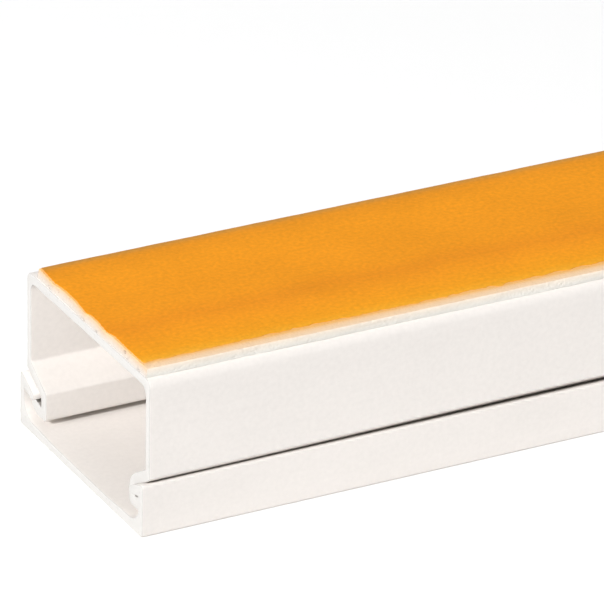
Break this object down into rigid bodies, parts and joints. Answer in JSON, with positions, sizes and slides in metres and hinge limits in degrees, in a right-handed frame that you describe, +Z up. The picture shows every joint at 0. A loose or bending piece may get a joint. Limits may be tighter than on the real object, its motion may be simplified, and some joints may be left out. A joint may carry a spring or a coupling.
{
  "type": "cord cover raceway",
  "caption": "Rectangular two-piece plastic cord raceway: a channel, a cover that clips onto its hooked legs, and foam adhesive tape with a release liner on its back.",
  "frame": {"origin": "centre of the bounding box's bottom face, in the plane of the cover's flat face", "axes": "+X along the stock, +Y across it, +Z up from the cover's face to the adhesive back"},
  "size_m": [0.4012, 0.04, 0.026],
  "materials": {
    "channel_pvc": "extruded warm white PVC, smooth with a soft sheen",
    "cover_pvc": "extruded warm white PVC, smooth with a soft sheen",
    "tape_foam": "white closed-cell polyethylene foam, matt, cut edges show cells",
    "liner_paper": "orange siliconised release paper, satin"
  },
  "bodies": {
    "root": {"base_channel": "channel_pvc", "cover": "cover_pvc", "foam_tape": "tape_foam", "release_liner": "liner_paper"}
  },
  "joints": []
}
